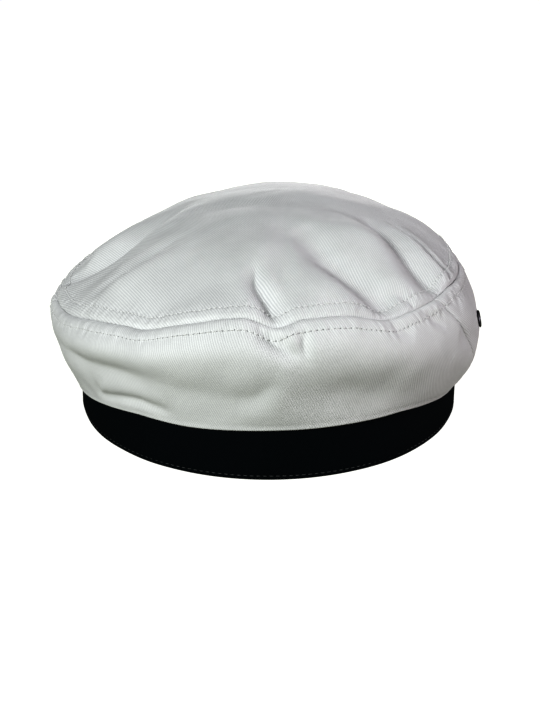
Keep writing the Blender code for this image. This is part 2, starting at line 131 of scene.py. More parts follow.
# here a place is an angle and a share of the way from the hem up to the seam
sideFolds = [
    (-1.4, 6.0, 0.0, 0.0, 1.7, (
        (-64, 0.62), (-50.8, 0.75), (-40.8, 0.78), (-29.0, 0.80), (-17.1, 0.77),
        (-6.5, 0.76), (2.5, 0.79))),
    (-1.2, 6.5, 0.0, 0.0, 1.7, ((8.0, 0.84), (14.9, 0.85), (22.8, 0.84), (32.3, 0.83), (42.0, 0.79))),
    (3.0, 5.5, 0.8, 0.4, 1.7, (
        (-74, 0.60), (-64, 0.61), (-57.4, 0.59), (-51.5, 0.53), (-44, 0.50), (-37.3, 0.49), (-29.7, 0.48))),
    (0.9, 6.0, 0.2, 0.2, 1.8, (
        (-44, 0.50), (-36, 0.48), (-29.7, 0.48), (-25.3, 0.45), (-20, 0.40), (-13.8, 0.36), (-5.0, 0.30))),
    (0.9, 4.2, 0.3, 0.6, 1.7, ((-8.0, 0.31), (-3.2, 0.34), (-0.4, 0.44), (3.0, 0.53))),
    (1.8, 2.7, 0.6, 0.3, 1.8, (
        (-50.6, 0.30), (-50.4, 0.13), (-45.8, 0.14), (-40.5, 0.16), (-34.7, 0.17),
        (-30, 0.15), (-25.8, 0.13))),
    (0.9, 7.0, 0.3, 0.2, 1.9, (
        (2.0, 0.40), (10.7, 0.37), (16.6, 0.36), (23.3, 0.32), (30.3, 0.28), (36.8, 0.25), (46.0, 0.24))),
    (2.2, 2.6, 1.6, 0.4, 1.4, ((-3.5, 1.0), (-1.0, 0.94), (0.4, 0.91), (4.2, 0.81), (7.0, 0.74))),
    (1.4, 2.2, 0.5, 0.2, 1.6, ((7.4, 0.93), (7.9, 0.82), (8.6, 0.72))),
    (1.8, 4.0, 0.6, 0.3, 1.7, ((30.0, 1.04), (31.5, 0.98), (33.1, 0.93), (34.5, 0.88), (37.0, 0.82))),
    (1.4, 2.2, 0.5, 0.3, 1.4, ((42.0, 1.0), (45.3, 0.89), (46.9, 0.85), (50.0, 0.78))),
    (1.6, 5.0, 0.5, 0.4, 1.8, ((55.5, 0.66), (57.2, 0.61), (62, 0.54), (72, 0.42))),
    (2.0, 8.0, 0.6, 0.8, 2.0, ((76, 0.40), (92, 0.46), (112, 0.40))),
    (4.2, 8.5, 0.6, 0.6, 2.0, ((-116, 0.42), (-96, 0.52), (-76, 0.46))),
    (1.8, 9.0, 0.6, 0.6, 2.0, ((150, 0.42), (176, 0.38), (206, 0.44))),
]

# soft swells of the top, seen from above in the same shares, with size and height in mm
topSwells = [
    {"place": (0.80, 0.10), "size": 19.0, "height": 3.0},
    {"place": (-0.28, 0.12), "size": 22.0, "height": -0.7},
    {"place": (-0.66, -0.54), "size": 17.0, "height": 2.8},
    {"place": (-0.80, -0.18), "size": 18.0, "height": -3.8},
    {"place": (0.47, -0.47), "size": 13.0, "height": 2.8},
    {"place": (0.60, -0.68), "size": 8.0, "height": 1.2},
]

# the cloth's own slow and fine unevenness: height, size and seed
clothWaves = ((0.0004, 0.045, 1), (0.00016, 0.017, 2))

# where the folds die out, in shares of the way up the side or out over the top
foldFades = {
    "hem": (-0.04, 0.20),
    "sideEdge": (0.93, 1.0),
    "topEdge": (0.94, 1.0),
    "lost": 0.6,              # part of a fold that is lost at the upper seam
}

seamWork = {
    "stitchPitch": 0.0022,
    "stitchLength": 0.0015,
    "threadRadius": 0.00022,
    "stitchSink": 0.00004,
    "topRow": 0.0050,         # from the upper seam to the stitches on the top panel
    "sideRow": 0.0045,        # and to those on the side panels
    "seamDip": 0.0006,
    "seamWidth": 0.00055,
    "weltRise": 0.00042,
    "weltStart": (0.0002, 0.0018),
    "weltEnd": (-0.0008, 0.0012),     # from the row of stitches
    "rowDip": 0.00036,
    "rowWidth": 0.0007,
    "rowEvenness": 0.35,      # part of the dip that is left between two needle holes
    "puckerHeight": 0.00024,
    "puckerWaves": (0.0031, 0.0043, 0.0058, 0.0077, 0.0110),
    "puckerSlant": 0.5,
    "puckerStretch": 6.3,     # waves from one strong stretch to the next
    "puckerEvenness": 0.6,
    "puckerSum": 2.2,         # brings the sum of the waves back to about 1
    "puckerStart": 0.0015,
    "puckerEnd": (0.0005, 0.0050),    # from the row of stitches
    "topSeed": 12,
    "sideSeed": 11,
    "tuckDepth": 0.0028,
    "gap": 0.00005,
}

# the slanting seams between the side panels, without stitches
sideSeamWork = {
    "slantShare": 0.8,        # the slant shortens the way across
    "creaseDepth": 0.0006,
    "creaseWidth": 0.0006,
    "ridgeHeight": 0.0002,
    "ridgePlace": 0.003,
    "ridgeWidth": 0.002,
    "fade": 0.06,
}

eyeletBuild = {
    "angle": 91.0,            # from the crown's own middle, to both sides
    "share": 0.57,
    "flangeRadius": 0.0039,
    "boreRadius": 0.0021,
    "holeRadius": 0.0029,     # in the cloth, under the flange
    "flatRadius": 0.0075,     # the cloth lies flat round the flange
    "rise": 0.0007,
    "lift": 0.0002,
    "wall": 0.0004,
    "undercut": 0.0001,
    "tubeDepth": 0.0030,
    "rollSteps": 8,
    "turnSteps": 48,
    "sharpFrom": 50,          # degrees between faces
}

angleStep = 0.5               # degrees to each side when a slope is measured
mergeDistance = 1e-6


# smooth ramp from 0 at start to 1 at end
def ramp(value, start, end):
    share = np.clip((value - start) / (end - start), 0.0, 1.0)
    return share * share * (3 - 2 * share)


# a column of the crown's sections at any angle, on a smooth closed curve
def alongSections(column, angle):
    which = crownColumns.index(column)
    angles = np.array([row[0] for row in crownSections], float)
    values = np.array([row[which] for row in crownSections], float)
    angles = np.concatenate([angles[-2:] - 360, angles, angles[:3] + 360])
    values = np.concatenate([values[-2:], values, values[:3]])
    slopes = np.zeros(len(angles))
    slopes[1:-1] = (values[2:] - values[:-2]) / (angles[2:] - angles[:-2])
    turned = (np.asarray(angle, float) + 180) % 360 - 180
    low = np.clip(np.searchsorted(angles, turned, side="right") - 1, 1, len(angles) - 3)
    span = angles[low + 1] - angles[low]
    s = (turned - angles[low]) / span
    return ((2 * s**3 - 3 * s**2 + 1) * values[low] + (s**3 - 2 * s**2 + s) * span * slopes[low]
            + (3 * s**2 - 2 * s**3) * values[low + 1] + (s**3 - s**2) * span * slopes[low + 1])


noiseBuild = {
    "waves": 14,
    "spread": (0.6, 1.4),     # shares of the wanted number of waves
    "peak": 1.6,
}


# soft even noise from a fixed set of plane waves, about -1 to 1
def softNoise(points, size, seed):
    dice = np.random.RandomState(seed)
    total = np.zeros(points.shape[:-1])
    waves = noiseBuild["waves"]
    for _ in range(waves):
        direction = dice.normal(size=3)
        direction *= 2 * math.pi / size * dice.uniform(*noiseBuild["spread"]) / np.linalg.norm(direction)
        total += np.sin(points @ direction + dice.uniform(0, 2 * math.pi))
    return total / math.sqrt(waves / 2) / noiseBuild["peak"]


def unevenness(points):
    return sum(height * softNoise(points, size, seed) for height, size, seed in clothWaves)


def ovalPoint(angle, reach, height):
    turn = np.radians(angle)
    x = np.sin(turn) * (capSize["bandHalfWidth"] + reach)
    y = -np.cos(turn) * (capSize["bandHalfLength"] + reach)
    return np.stack(np.broadcast_arrays(x, y, height), -1)


def plainSide(angle, share):
    overhang = capSize["overhang"]
    hemReach = capSize["hemReach"]
    lean = alongSections("lean", angle) * overhang
    swell = alongSections("bulge", angle) * overhang - (hemReach + lean) / 2
    inside = np.clip(share, 0.0, 1.0)
    reach = hemReach + (lean - hemReach) * share
    fullness = np.sin(math.pi * inside ** alongSections("belly", angle)) ** capSize["swellPower"]
    reach = reach + swell * fullness
    hem = alongSections("hem", angle) * capSize["bandHeight"]
    rise = alongSections("rise", angle) * capSize["crownHeight"]
    return ovalPoint(angle, reach, hem + (rise - hem) * share)


def plainTop(angle, share):
    rim = plainSide(angle, np.ones_like(share))
    middle = np.array(capSize["domeMiddle"]) * (capSize["bandHalfWidth"], capSize["bandHalfLength"])
    x = middle[0] + (rim[..., 0] - middle[0]) * share
    y = middle[1] + (rim[..., 1] - middle[1]) * share
    leastShare = 1e-6
    fall = np.maximum(share, leastShare) ** alongSections("dome", angle)
    z = capSize["crownHeight"] + (rim[..., 2] - capSize["crownHeight"]) * fall
    return np.stack([x, y, z], -1)


# unit normals of a surface of angle and share
def normalOf(surface, angle, share, outward):
    shareStep, tiny = 0.005, 1e-12
    across = surface(angle + angleStep, share) - surface(angle - angleStep, share)
    above, below = np.minimum(share + shareStep, 1.0), np.maximum(share - shareStep, 0.0)
    normal = np.cross(across, surface(angle, above) - surface(angle, below)) * outward
    length = np.linalg.norm(normal, axis=-1, keepdims=True)
    return np.where(length > tiny, normal / np.maximum(length, tiny), (0.0, 0.0, 1.0))


# a smooth curve through all the places of a fold
def foldLine(places, toPlane):
    places = toPlane(np.array(places, float))
    padded = np.vstack([2 * places[0] - places[1], places, 2 * places[-1] - places[-2]])
    s = np.linspace(0, 1, foldShape["curveSteps"] + 1)[:, None]
    curve = [places[:1]]
    for a, b, c, d in zip(padded, padded[1:], padded[2:], padded[3:]):
        bend = (2 * a - 5 * b + 4 * c - d) * s**2 + (3 * b - a - 3 * c + d) * s**3
        curve.append((0.5 * (2 * b + (c - a) * s + bend))[1:])
    return np.vstack(curve)


# height of all the folds at each place: a valley along the line with a ridge on either side
def foldRelief(folds, toPlane, places):
    shape = foldShape
    flat = places.reshape(-1, 2)
    total = np.zeros(len(flat))
    for depth, width, left, right, sharp, way in folds:
        line = foldLine(way, toPlane)
        width = width / 1000
        reach = shape["reach"] * width
        low, high = line.min(0) - reach, line.max(0) + reach
        near = np.where(np.all((flat > low) & (flat < high), axis=1))[0]
        if len(near) == 0:
            continue
        best = np.full(len(near), np.inf)
        side = np.zeros(len(near))
        progress = np.zeros(len(near))
        for step, (a, b) in enumerate(zip(line, line[1:])):
            along = b - a
            away = flat[near] - a
            share = np.clip(away @ along / (along @ along), 0, 1)
            rest = away - share[:, None] * along
            distance = np.hypot(rest[:, 0], rest[:, 1])
            closer = distance < best
            best[closer] = distance[closer]
            turn = along[0] * rest[:, 1] - along[1] * rest[:, 0]
            side[closer] = turn[closer]
            progress[closer] = (step + share[closer]) / (len(line) - 1)
        away = best / width
        whole = 1 - 2 * shape["endShare"]
        strength = np.sin(math.pi * (shape["endShare"] + whole * progress)) ** shape["endPower"]
        ridge = np.exp(-((away - shape["ridgePlace"]) / shape["ridgeWidth"]) ** 2)
        ridge = ridge * np.where(side > 0, left, right)
        valley = depth * np.exp(-(away ** 2 + shape["valleyFloor"]) ** (sharp / 2))
        total[near] += strength * (ridge - valley) / 1000
    return total.reshape(places.shape[:-1])


def topPlane(places):
    return places * (capSize["bandHalfWidth"], capSize["bandHalfLength"])


def sidePlane(places):
    angle, share = places[..., 0], places[..., 1]
    hem = alongSections("hem", angle) * capSize["bandHeight"]
    height = alongSections("rise", angle) * capSize["crownHeight"] - hem
    return np.stack([np.radians(angle) * capSize["bandHalfLength"], share * height], -1)


# lengths over the cloth from the upper seam, down the sides and in over the top, every half degree
seamAngles = np.linspace(-180, 180, 721)


def lengthsOver(surface):
    rows = 61
    angle, share = np.meshgrid(seamAngles, np.linspace(0, 1, rows))
    return np.linalg.norm(np.diff(surface(angle, share), axis=0), axis=-1).sum(0)


sideLengths = lengthsOver(plainSide)
topLengths = lengthsOver(plainTop)


def lengthAt(lengths, angle):
    return np.interp((np.asarray(angle) + 180) % 360 - 180, seamAngles, lengths)


# distance along the upper seam from the centre front, round by the left
seamPoints = plainSide(seamAngles, np.ones_like(seamAngles))
seamSteps = np.linalg.norm(np.diff(seamPoints, axis=0), axis=-1)
seamDistance = np.concatenate([[0], np.cumsum(seamSteps)])
seamLength = seamDistance[-1]


def seamPlace(angle):
    turns = np.floor((np.asarray(angle) + 180) / 360)
    return np.interp(np.asarray(angle) - 360 * turns, seamAngles, seamDistance) + turns * seamLength


# small pleats that run in from a stitched row, uneven along it
def puckers(place, distance, row, seed):
    s = seamWork
    dice = np.random.RandomState(seed)
    total = 0.0
    for wave in s["puckerWaves"]:
        turn = dice.uniform(0, 2 * math.pi)
        slant = dice.uniform(-s["puckerSlant"], s["puckerSlant"])
        beat = np.sin(2 * math.pi * place / (wave * s["puckerStretch"]) + dice.uniform(0, 6))
        swell = s["puckerEvenness"] + (1 - s["puckerEvenness"]) * beat
        total = total + swell * np.sin(2 * math.pi * (place + slant * distance) / wave + turn)
    start, end = s["puckerEnd"]
    fade = ramp(distance, 0.0, s["puckerStart"]) * (1 - ramp(distance, row + start, row + end))
    return total / s["puckerSum"] * fade


# relief of a topstitched seam at a distance from it, pulled in at each needle hole
def seamRelief(distance, place, row, seed):
    s = seamWork
    dip = -s["seamDip"] * np.exp(-distance / s["seamWidth"])
    start, end = s["weltEnd"]
    welt = s["weltRise"] * ramp(distance, *s["weltStart"]) * (1 - ramp(distance, row + start, row + end))
    beat = 0.5 - 0.5 * np.cos(2 * math.pi * place / s["stitchPitch"])
    pull = s["rowEvenness"] + (1 - s["rowEvenness"]) * beat
    groove = -s["rowDip"] * np.exp(-((distance - row) / s["rowWidth"]) ** 2) * pull
    return dip + welt + groove + s["puckerHeight"] * puckers(place, distance, row, seed)


def sideSeamAngles(share):
    half = capSize["backPanelAngle"] / 2 + capSize["sideSeamSlant"] * (1 - share)
    return capSize["crownTurn"] - half, capSize["crownTurn"] + half


def eyeletPlace(side):
    return np.array([capSize["crownTurn"] + side * eyeletBuild["angle"]]), np.array([eyeletBuild["share"]])


# 0 at an eyelet, 1 well away from both
def awayFromEyelets(point):
    clear = 1.0
    for side in (-1, 1):
        distance = np.linalg.norm(point - plainSide(*eyeletPlace(side))[0], axis=-1)
        clear = clear * (1 - np.exp(-(distance / eyeletBuild["flatRadius"]) ** 4))
    return clear


# the side panels' outer face with its folds and seams, and the plain face's normals
def sideSurface(angle, share):
    s = sideSeamWork
    inside = np.clip(share, 0.0, 1.0)
    point = plainSide(angle, share)
    normal = normalOf(plainSide, angle, inside, 1)
    relief = unevenness(point)
    for turn in (-360, 0, 360):
        places = np.stack(np.broadcast_arrays(angle + turn, inside), -1)
        relief = relief + foldRelief(sideFolds, sidePlane, sidePlane(places))
    relief = relief * ramp(inside, *foldFades["hem"]) * awayFromEyelets(point)
    relief = relief * (1 - foldFades["lost"] * ramp(inside, *foldFades["sideEdge"]))
    distance = (1 - inside) * lengthAt(sideLengths, angle)
    relief = relief + seamRelief(distance, seamPlace(angle), seamWork["sideRow"], seamWork["sideSeed"])
    left, right = sideSeamAngles(inside)
    for seamAngle in (left, right, left + 360, right - 360):
        across = np.abs(np.radians(angle - seamAngle)) * capSize["bandHalfLength"] * s["slantShare"]
        crease = -s["creaseDepth"] * np.exp(-across / s["creaseWidth"])
        crease = crease + s["ridgeHeight"] * np.exp(-((across - s["ridgePlace"]) / s["ridgeWidth"]) ** 2)
        relief = relief + crease * ramp(1 - inside, 0.0, s["fade"])
    return point + normal * relief[..., None], normal


# the same for the top panel, whose shares run from its middle out to the upper seam
def topSurface(angle, share):
    point = plainTop(angle, share)
    normal = normalOf(plainTop, angle, share, -1)
    relief = foldRelief(topFolds, topPlane, point[..., :2]) + unevenness(point)
    for swell in topSwells:
        away = np.linalg.norm(point[..., :2] - topPlane(np.array(swell["place"])), axis=-1)
        relief = relief + swell["height"] / 1000 * np.exp(-(away * 1000 / swell["size"]) ** 2)
    relief = relief * (1 - foldFades["lost"] * ramp(share, *foldFades["topEdge"]))
    distance = (1 - share) * lengthAt(topLengths, angle)
    relief = relief + seamRelief(distance, seamPlace(angle), seamWork["topRow"], seamWork["topSeed"])
    return point + normal * relief[..., None], normal


# outer corner of the upper seam, the way into the cap and the way up across the seam
def seamCorner(angle):
    one = np.ones_like(angle)
    outward = normalOf(plainSide, angle, one, 1)
    upward = normalOf(plainTop, angle, one, -1)
    mitre = outward + upward
    mitre /= np.linalg.norm(mitre, axis=-1, keepdims=True)
    along = plainSide(angle + angleStep, one) - plainSide(angle - angleStep, one)
    across = np.cross(mitre, along)
    across /= np.linalg.norm(across, axis=-1, keepdims=True)
    across *= np.sign(across[..., 2:3])
    corner = plainSide(angle, one) - mitre * seamWork["seamDip"]
    return corner, -mitre, across


def setInputs(node, values):
    for label, value in values.items():
        node.inputs[label].default_value = value


def newMaterial(name, values):
    material = bpy.data.materials.new(name)
    material.use_nodes = True
    tree = material.node_tree
    shader = tree.nodes["Principled BSDF"]
    setInputs(shader, values)
    return material, tree, shader


def addNode(tree, kind, values=None, **settings):
    node = tree.nodes.new(kind)
    for key, value in settings.items():
        setattr(node, key, value)
    setInputs(node, values or {})
    return node


# a and b are numbers or sockets
def mathNode(tree, operation, a, b=None):
    node = addNode(tree, "ShaderNodeMath", operation=operation)
    for socket, value in zip(node.inputs, (a, b)):
        if value is None:
            continue
        if isinstance(value, (int, float)):
            socket.default_value = value
        else:
            tree.links.new(value, socket)
    return node.outputs[0]


def addBump(tree, shader, height, strength, distance):
    bump = addNode(tree, "ShaderNodeBump", {"Strength": strength, "Distance": distance})
    tree.links.new(height, bump.inputs["Height"])
    tree.links.new(bump.outputs[0], shader.inputs["Normal"])


def addColourMix(tree, first, second, factor):
    mix = addNode(tree, "ShaderNodeMix", {"A": (*first, 1), "B": (*second, 1)}, data_type="RGBA")
    tree.links.new(factor, mix.inputs["Factor"])
    return mix


# noise at a piece's own coordinates
def objectNoise(tree, values):
    place = addNode(tree, "ShaderNodeTexCoord")
    noise = addNode(tree, "ShaderNodeTexNoise", values)
    tree.links.new(place.outputs["Object"], noise.inputs["Vector"])
    return noise.outputs[0]


# an empty node group that takes one place and some numbers
def makeGroup(name, place, numbers, results):
    group = bpy.data.node_groups.new(name, "ShaderNodeTree")
    sockets = group.interface
    sockets.new_socket(place, in_out="INPUT", socket_type="NodeSocketVector")
    for label in numbers:
        sockets.new_socket(label, in_out="INPUT", socket_type="NodeSocketFloat")
    for label in results:
        sockets.new_socket(label, in_out="OUTPUT", socket_type="NodeSocketFloat")
    return group, group.nodes.new("NodeGroupInput"), group.nodes.new("NodeGroupOutput")


twillBuild = {
    "swayScale": 260.0,
    "swayDetail": 3.0,
    "ribPower": 0.6,          # below 1, the ribs are broader than the grooves
    "beadShift": 0.5,         # how far the yarns step on from rib to rib
    "beadHeight": 0.16,
    "fuzzScale": 1900.0,
    "fuzzDetail": 2.0,
    "fuzzHeight": 0.30,
    "patchScale": 55.0,
    "patchDetail": 6.0,
    "patchRoughness": 0.62,
}


# diagonal ribs of twill: takes a place in metres on the flat cloth
def makeTwillGroup():
    t = twillBuild
    numbers = ("Ribs per metre", "Rib angle", "Unevenness", "Yarns per metre")
    group, take, give = makeGroup("twillWeave", "Place", numbers, ("Height", "Groove", "Mottle"))
    link = group.links.new

    def calc(operation, a, b=None):
        return mathNode(group, operation, a, b)

    def noise(values):
        node = addNode(group, "ShaderNodeTexNoise", values, noise_dimensions="3D")
        link(take.outputs["Place"], node.inputs["Vector"])
        return node.outputs[0]

    turn = addNode(group, "ShaderNodeVectorRotate", rotation_type="Z_AXIS")
    link(take.outputs["Place"], turn.inputs["Vector"])
    link(take.outputs["Rib angle"], turn.inputs["Angle"])
    split = addNode(group, "ShaderNodeSeparateXYZ")
    link(turn.outputs[0], split.inputs[0])
    uneven = noise({"Scale": t["swayScale"], "Detail": t["swayDetail"]})
    sway = calc("MULTIPLY", calc("SUBTRACT", uneven, 0.5), take.outputs["Unevenness"])
    ribs = calc("ADD", calc("MULTIPLY", split.outputs["X"], take.outputs["Ribs per metre"]), sway)
    wave = calc("SINE", calc("MULTIPLY", ribs, 2 * math.pi))
    rounded = calc("POWER", calc("ADD", calc("MULTIPLY", wave, 0.5), 0.5), t["ribPower"])
    yarns = calc("MULTIPLY", split.outputs["Y"], take.outputs["Yarns per metre"])
    shifted = calc("ADD", yarns, calc("MULTIPLY", ribs, t["beadShift"]))
    bead = calc("SINE", calc("MULTIPLY", shifted, 2 * math.pi))
    beads = calc("MULTIPLY", calc("MULTIPLY", bead, rounded), t["beadHeight"])
    fuzz = noise({"Scale": t["fuzzScale"], "Detail": t["fuzzDetail"]})
    hairs = calc("MULTIPLY", fuzz, t["fuzzHeight"])
    link(calc("ADD", calc("ADD", rounded, beads), hairs), give.inputs["Height"])
    # the grooves between the ribs, where the colour is darkened as painted shade
    link(calc("SUBTRACT", 1.0, rounded), give.inputs["Groove"])
    patches = {"Scale": t["patchScale"], "Detail": t["patchDetail"], "Roughness": t["patchRoughness"]}
    link(noise(patches), give.inputs["Mottle"])
    return group


# a round mask at each needle hole, which the cloth uses to sink there and to darken as painted shade: takes
# distance along and away from a seam in metres
def makeHoleGroup():
    group, take, give = makeGroup("needleHoles", "Seam place", ("Row", "Pitch", "Radius"), ("Hole",))

    def calc(operation, a, b=None):
        return mathNode(group, operation, a, b)

    split = addNode(group, "ShaderNodeSeparateXYZ")
    group.links.new(take.outputs["Seam place"], split.inputs[0])
    beat = calc("FRACT", calc("DIVIDE", split.outputs["X"], take.outputs["Pitch"]))
    along = calc("MULTIPLY", calc("SUBTRACT", beat, 0.5), take.outputs["Pitch"])
    away = calc("SUBTRACT", split.outputs["Y"], take.outputs["Row"])
    squares = calc("ADD", calc("MULTIPLY", along, along), calc("MULTIPLY", away, away))
    share = calc("DIVIDE", calc("SQRT", squares), take.outputs["Radius"])
    fade = {"From Min": 0.4, "From Max": 1.0, "To Min": 1.0, "To Max": 0.0}
    edge = addNode(group, "ShaderNodeMapRange", fade, interpolation_type="SMOOTHSTEP")
    group.links.new(share, edge.inputs["Value"])
    group.links.new(edge.outputs[0], give.inputs["Hole"])
    return group


twillGroup = makeTwillGroup()
holeGroup = makeHoleGroup()
print("weave and needle hole groups made")


whiteCloth = {
    "colour": (0.80, 0.805, 0.80),
    # painted shade: the twill's grooves are coloured darker than its ribs
    "paintedGrooveShade": (0.64, 0.645, 0.645),
    # painted shade: the needle holes are coloured near black
    "holeShadeColour": (0.10, 0.10, 0.11),
    "holeRadius": 0.00030,
    "holePress": 1.5,         # how far the cloth sinks at a hole, in ribs
    "ribsPerMetre": 1080.0,
    "yarnsPerMetre": 2200.0,
    "unevenness": 0.35,
    "mottle": (0.93, 1.03),
    "mottleFrom": (0.3, 0.7),
    # painted shade: how dark the needle holes are coloured on the top and on the side panels
    "topHoleShade": 0.18,         # how dark the needle holes are
    "sideHoleShade": 0.70,
    "bump": 0.8,
    "bumpHeight": 0.00013,
    "roughness": 0.88,
    "gloss": 0.25,
    "sheen": 0.20,
    "sheenRoughness": 0.6,
}


def clothMaterial(name, cloth):
    return newMaterial(name, {
        "Roughness": cloth["roughness"], "Specular IOR Level": cloth["gloss"],
        "Sheen Weight": cloth["sheen"], "Sheen Roughness": cloth["sheenRoughness"],
    })


# weave of a cloth whose ribs lean at ribAngle, and its colour from rib to groove, with painted shade
# darkening the grooves
def addTwill(tree, cloth, ribAngle):
    weavePlace = addNode(tree, "ShaderNodeUVMap", uv_map="weave")
    values = {
        "Ribs per metre": cloth["ribsPerMetre"], "Rib angle": math.radians(ribAngle),
        "Unevenness": cloth["unevenness"], "Yarns per metre": cloth["yarnsPerMetre"],
    }
    twill = addNode(tree, "ShaderNodeGroup", values, node_tree=twillGroup)
    tree.links.new(weavePlace.outputs[0], twill.inputs["Place"])
    return twill, addColourMix(tree, cloth["colour"], cloth["paintedGrooveShade"], twill.outputs["Groove"])


# white cotton twill with needle holes at row from the seam, with painted shade in the holes and in the
# twill's grooves
def makeWhiteCloth(name, ribAngle, row, holeShadeAmount):
    c = whiteCloth
    material, tree, shader = clothMaterial(name, c)
    link = tree.links.new
    twill, ribColourWithGrooveShade = addTwill(tree, c, ribAngle)
    seamWay = addNode(tree, "ShaderNodeUVMap", uv_map="seamWay")
    holeValues = {"Row": row, "Pitch": seamWork["stitchPitch"], "Radius": c["holeRadius"]}
    holes = addNode(tree, "ShaderNodeGroup", holeValues, node_tree=holeGroup)
    link(seamWay.outputs[0], holes.inputs["Seam place"])
    labels = ("From Min", "From Max", "To Min", "To Max")
    mottle = addNode(tree, "ShaderNodeMapRange", dict(zip(labels, c["mottleFrom"] + c["mottle"])))
    link(twill.outputs["Mottle"], mottle.inputs["Value"])
    shaded = addNode(tree, "ShaderNodeVectorMath", operation="SCALE")
    link(ribColourWithGrooveShade.outputs["Result"], shaded.inputs[0])
    link(mottle.outputs[0], shaded.inputs["Scale"])
    # painted shade coloured into the needle holes
    dark = mathNode(tree, "MULTIPLY", holes.outputs[0], holeShadeAmount)
    withHoleShade = addColourMix(tree, c["colour"], c["holeShadeColour"], dark)
    link(shaded.outputs[0], withHoleShade.inputs["A"])
    link(withHoleShade.outputs["Result"], shader.inputs["Base Color"])
    pressed = mathNode(tree, "MULTIPLY", holes.outputs[0], c["holePress"])
    height = mathNode(tree, "SUBTRACT", twill.outputs["Height"], pressed)
    addBump(tree, shader, height, c["bump"], c["bumpHeight"])
    return material


def meshOf(name, bm):
    mesh = bpy.data.meshes.new(name)
    bm.to_mesh(mesh)
    bm.free()
    return mesh


def addObject(name, data):
    added = bpy.data.objects.new(name, data)
    bpy.context.scene.collection.objects.link(added)
    return added


# a sheet of cloth as a grid of columns and rows, with its places worked out from two shares
def clothGrid(name, columns, rows, placeAll, material, holes=()):
    bm = bmesh.new()
    bmesh.ops.create_grid(bm, x_segments=columns, y_segments=rows, size=0.5)
    mesh = meshOf(name, bm)
    flat = np.zeros(len(mesh.vertices) * 3, np.float32)
    mesh.vertices.foreach_get("co", flat)
    flat = flat.reshape(-1, 3).astype(float)
    u, v = np.clip(flat[:, 0] + 0.5, 0, 1), np.clip(flat[:, 1] + 0.5, 0, 1)
    points, weave, seamWay = placeAll(u, v)
    mesh.vertices.foreach_set("co", points.astype(np.float32).ravel())
    corners = np.zeros(len(mesh.loops), np.int32)
    mesh.loops.foreach_get("vertex_index", corners)
    for label, places in (("weave", weave), ("seamWay", seamWay)):
        layer = mesh.uv_layers.new(name=label)
        layer.data.foreach_set("uv", places[corners].astype(np.float32).ravel())
    bm = bmesh.new()
    bm.from_mesh(mesh)
    bmesh.ops.remove_doubles(bm, verts=bm.verts, dist=mergeDistance)
    for centre, radius in holes:
        inHole = [face for face in bm.faces if (face.calc_center_median() - centre).length < radius]
        bmesh.ops.delete(bm, geom=inHole, context="FACES")
    bmesh.ops.recalc_face_normals(bm, faces=bm.faces)
    middle = Vector((0, 0, capSize["crownHeight"] * capSize["insideHeight"]))
    facing = [(face.calc_center_median() - middle).dot(face.normal) * face.calc_area() for face in bm.faces]
    if sum(facing) < 0:
        bmesh.ops.reverse_faces(bm, faces=bm.faces)
    bm.to_mesh(mesh)
    bm.free()
    mesh.shade_smooth()
    mesh.materials.append(material)
    return addObject(name, mesh)


def ridesAs(piece, node):
    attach(piece, "root")
    if node:
        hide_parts(node)


# a panel of the crown, with its cloth's thickness inward from the outer face
def makePanel(name, node, grid, placeAll, material, holes=()):
    panel = clothGrid(name, *grid, placeAll, material, holes)
    wall = panel.modifiers.new("clothWall", "SOLIDIFY")
    wall.thickness = capSize["clothThickness"]
    wall.offset = -1.0
    ridesAs(panel, node)
    return panel


hiddenShift = 0.02            # takes tucked rows away from the needle holes

sidePanelBuild = {
    "backColumns": 430,
    "frontColumns": 370,
    "frontSpread": ((0, 0.30, 1), (0, 0.17, 1)),    # closer columns near the right-hand seam
    "rows": 66,
    "tuckRows": 3,
    "curlRows": 8,
    "curlStep": 0.0003,
    "nearSeamRows": 16,
    "nearSeam": 0.0075,
    "firstShare": 0.86,
    "settleSteps": 3,         # a place's share and its seam's slant hang on each other
    "lipRadius": 0.0009,
    "lipFade": 0.10,
    "edgeTuck": 0.0016,
    "grainRadius": 0.50,      # the panel is cut on a curve, so its grain turns along it
    "backRibAngle": -22,
    "frontRibAngle": 103,
}


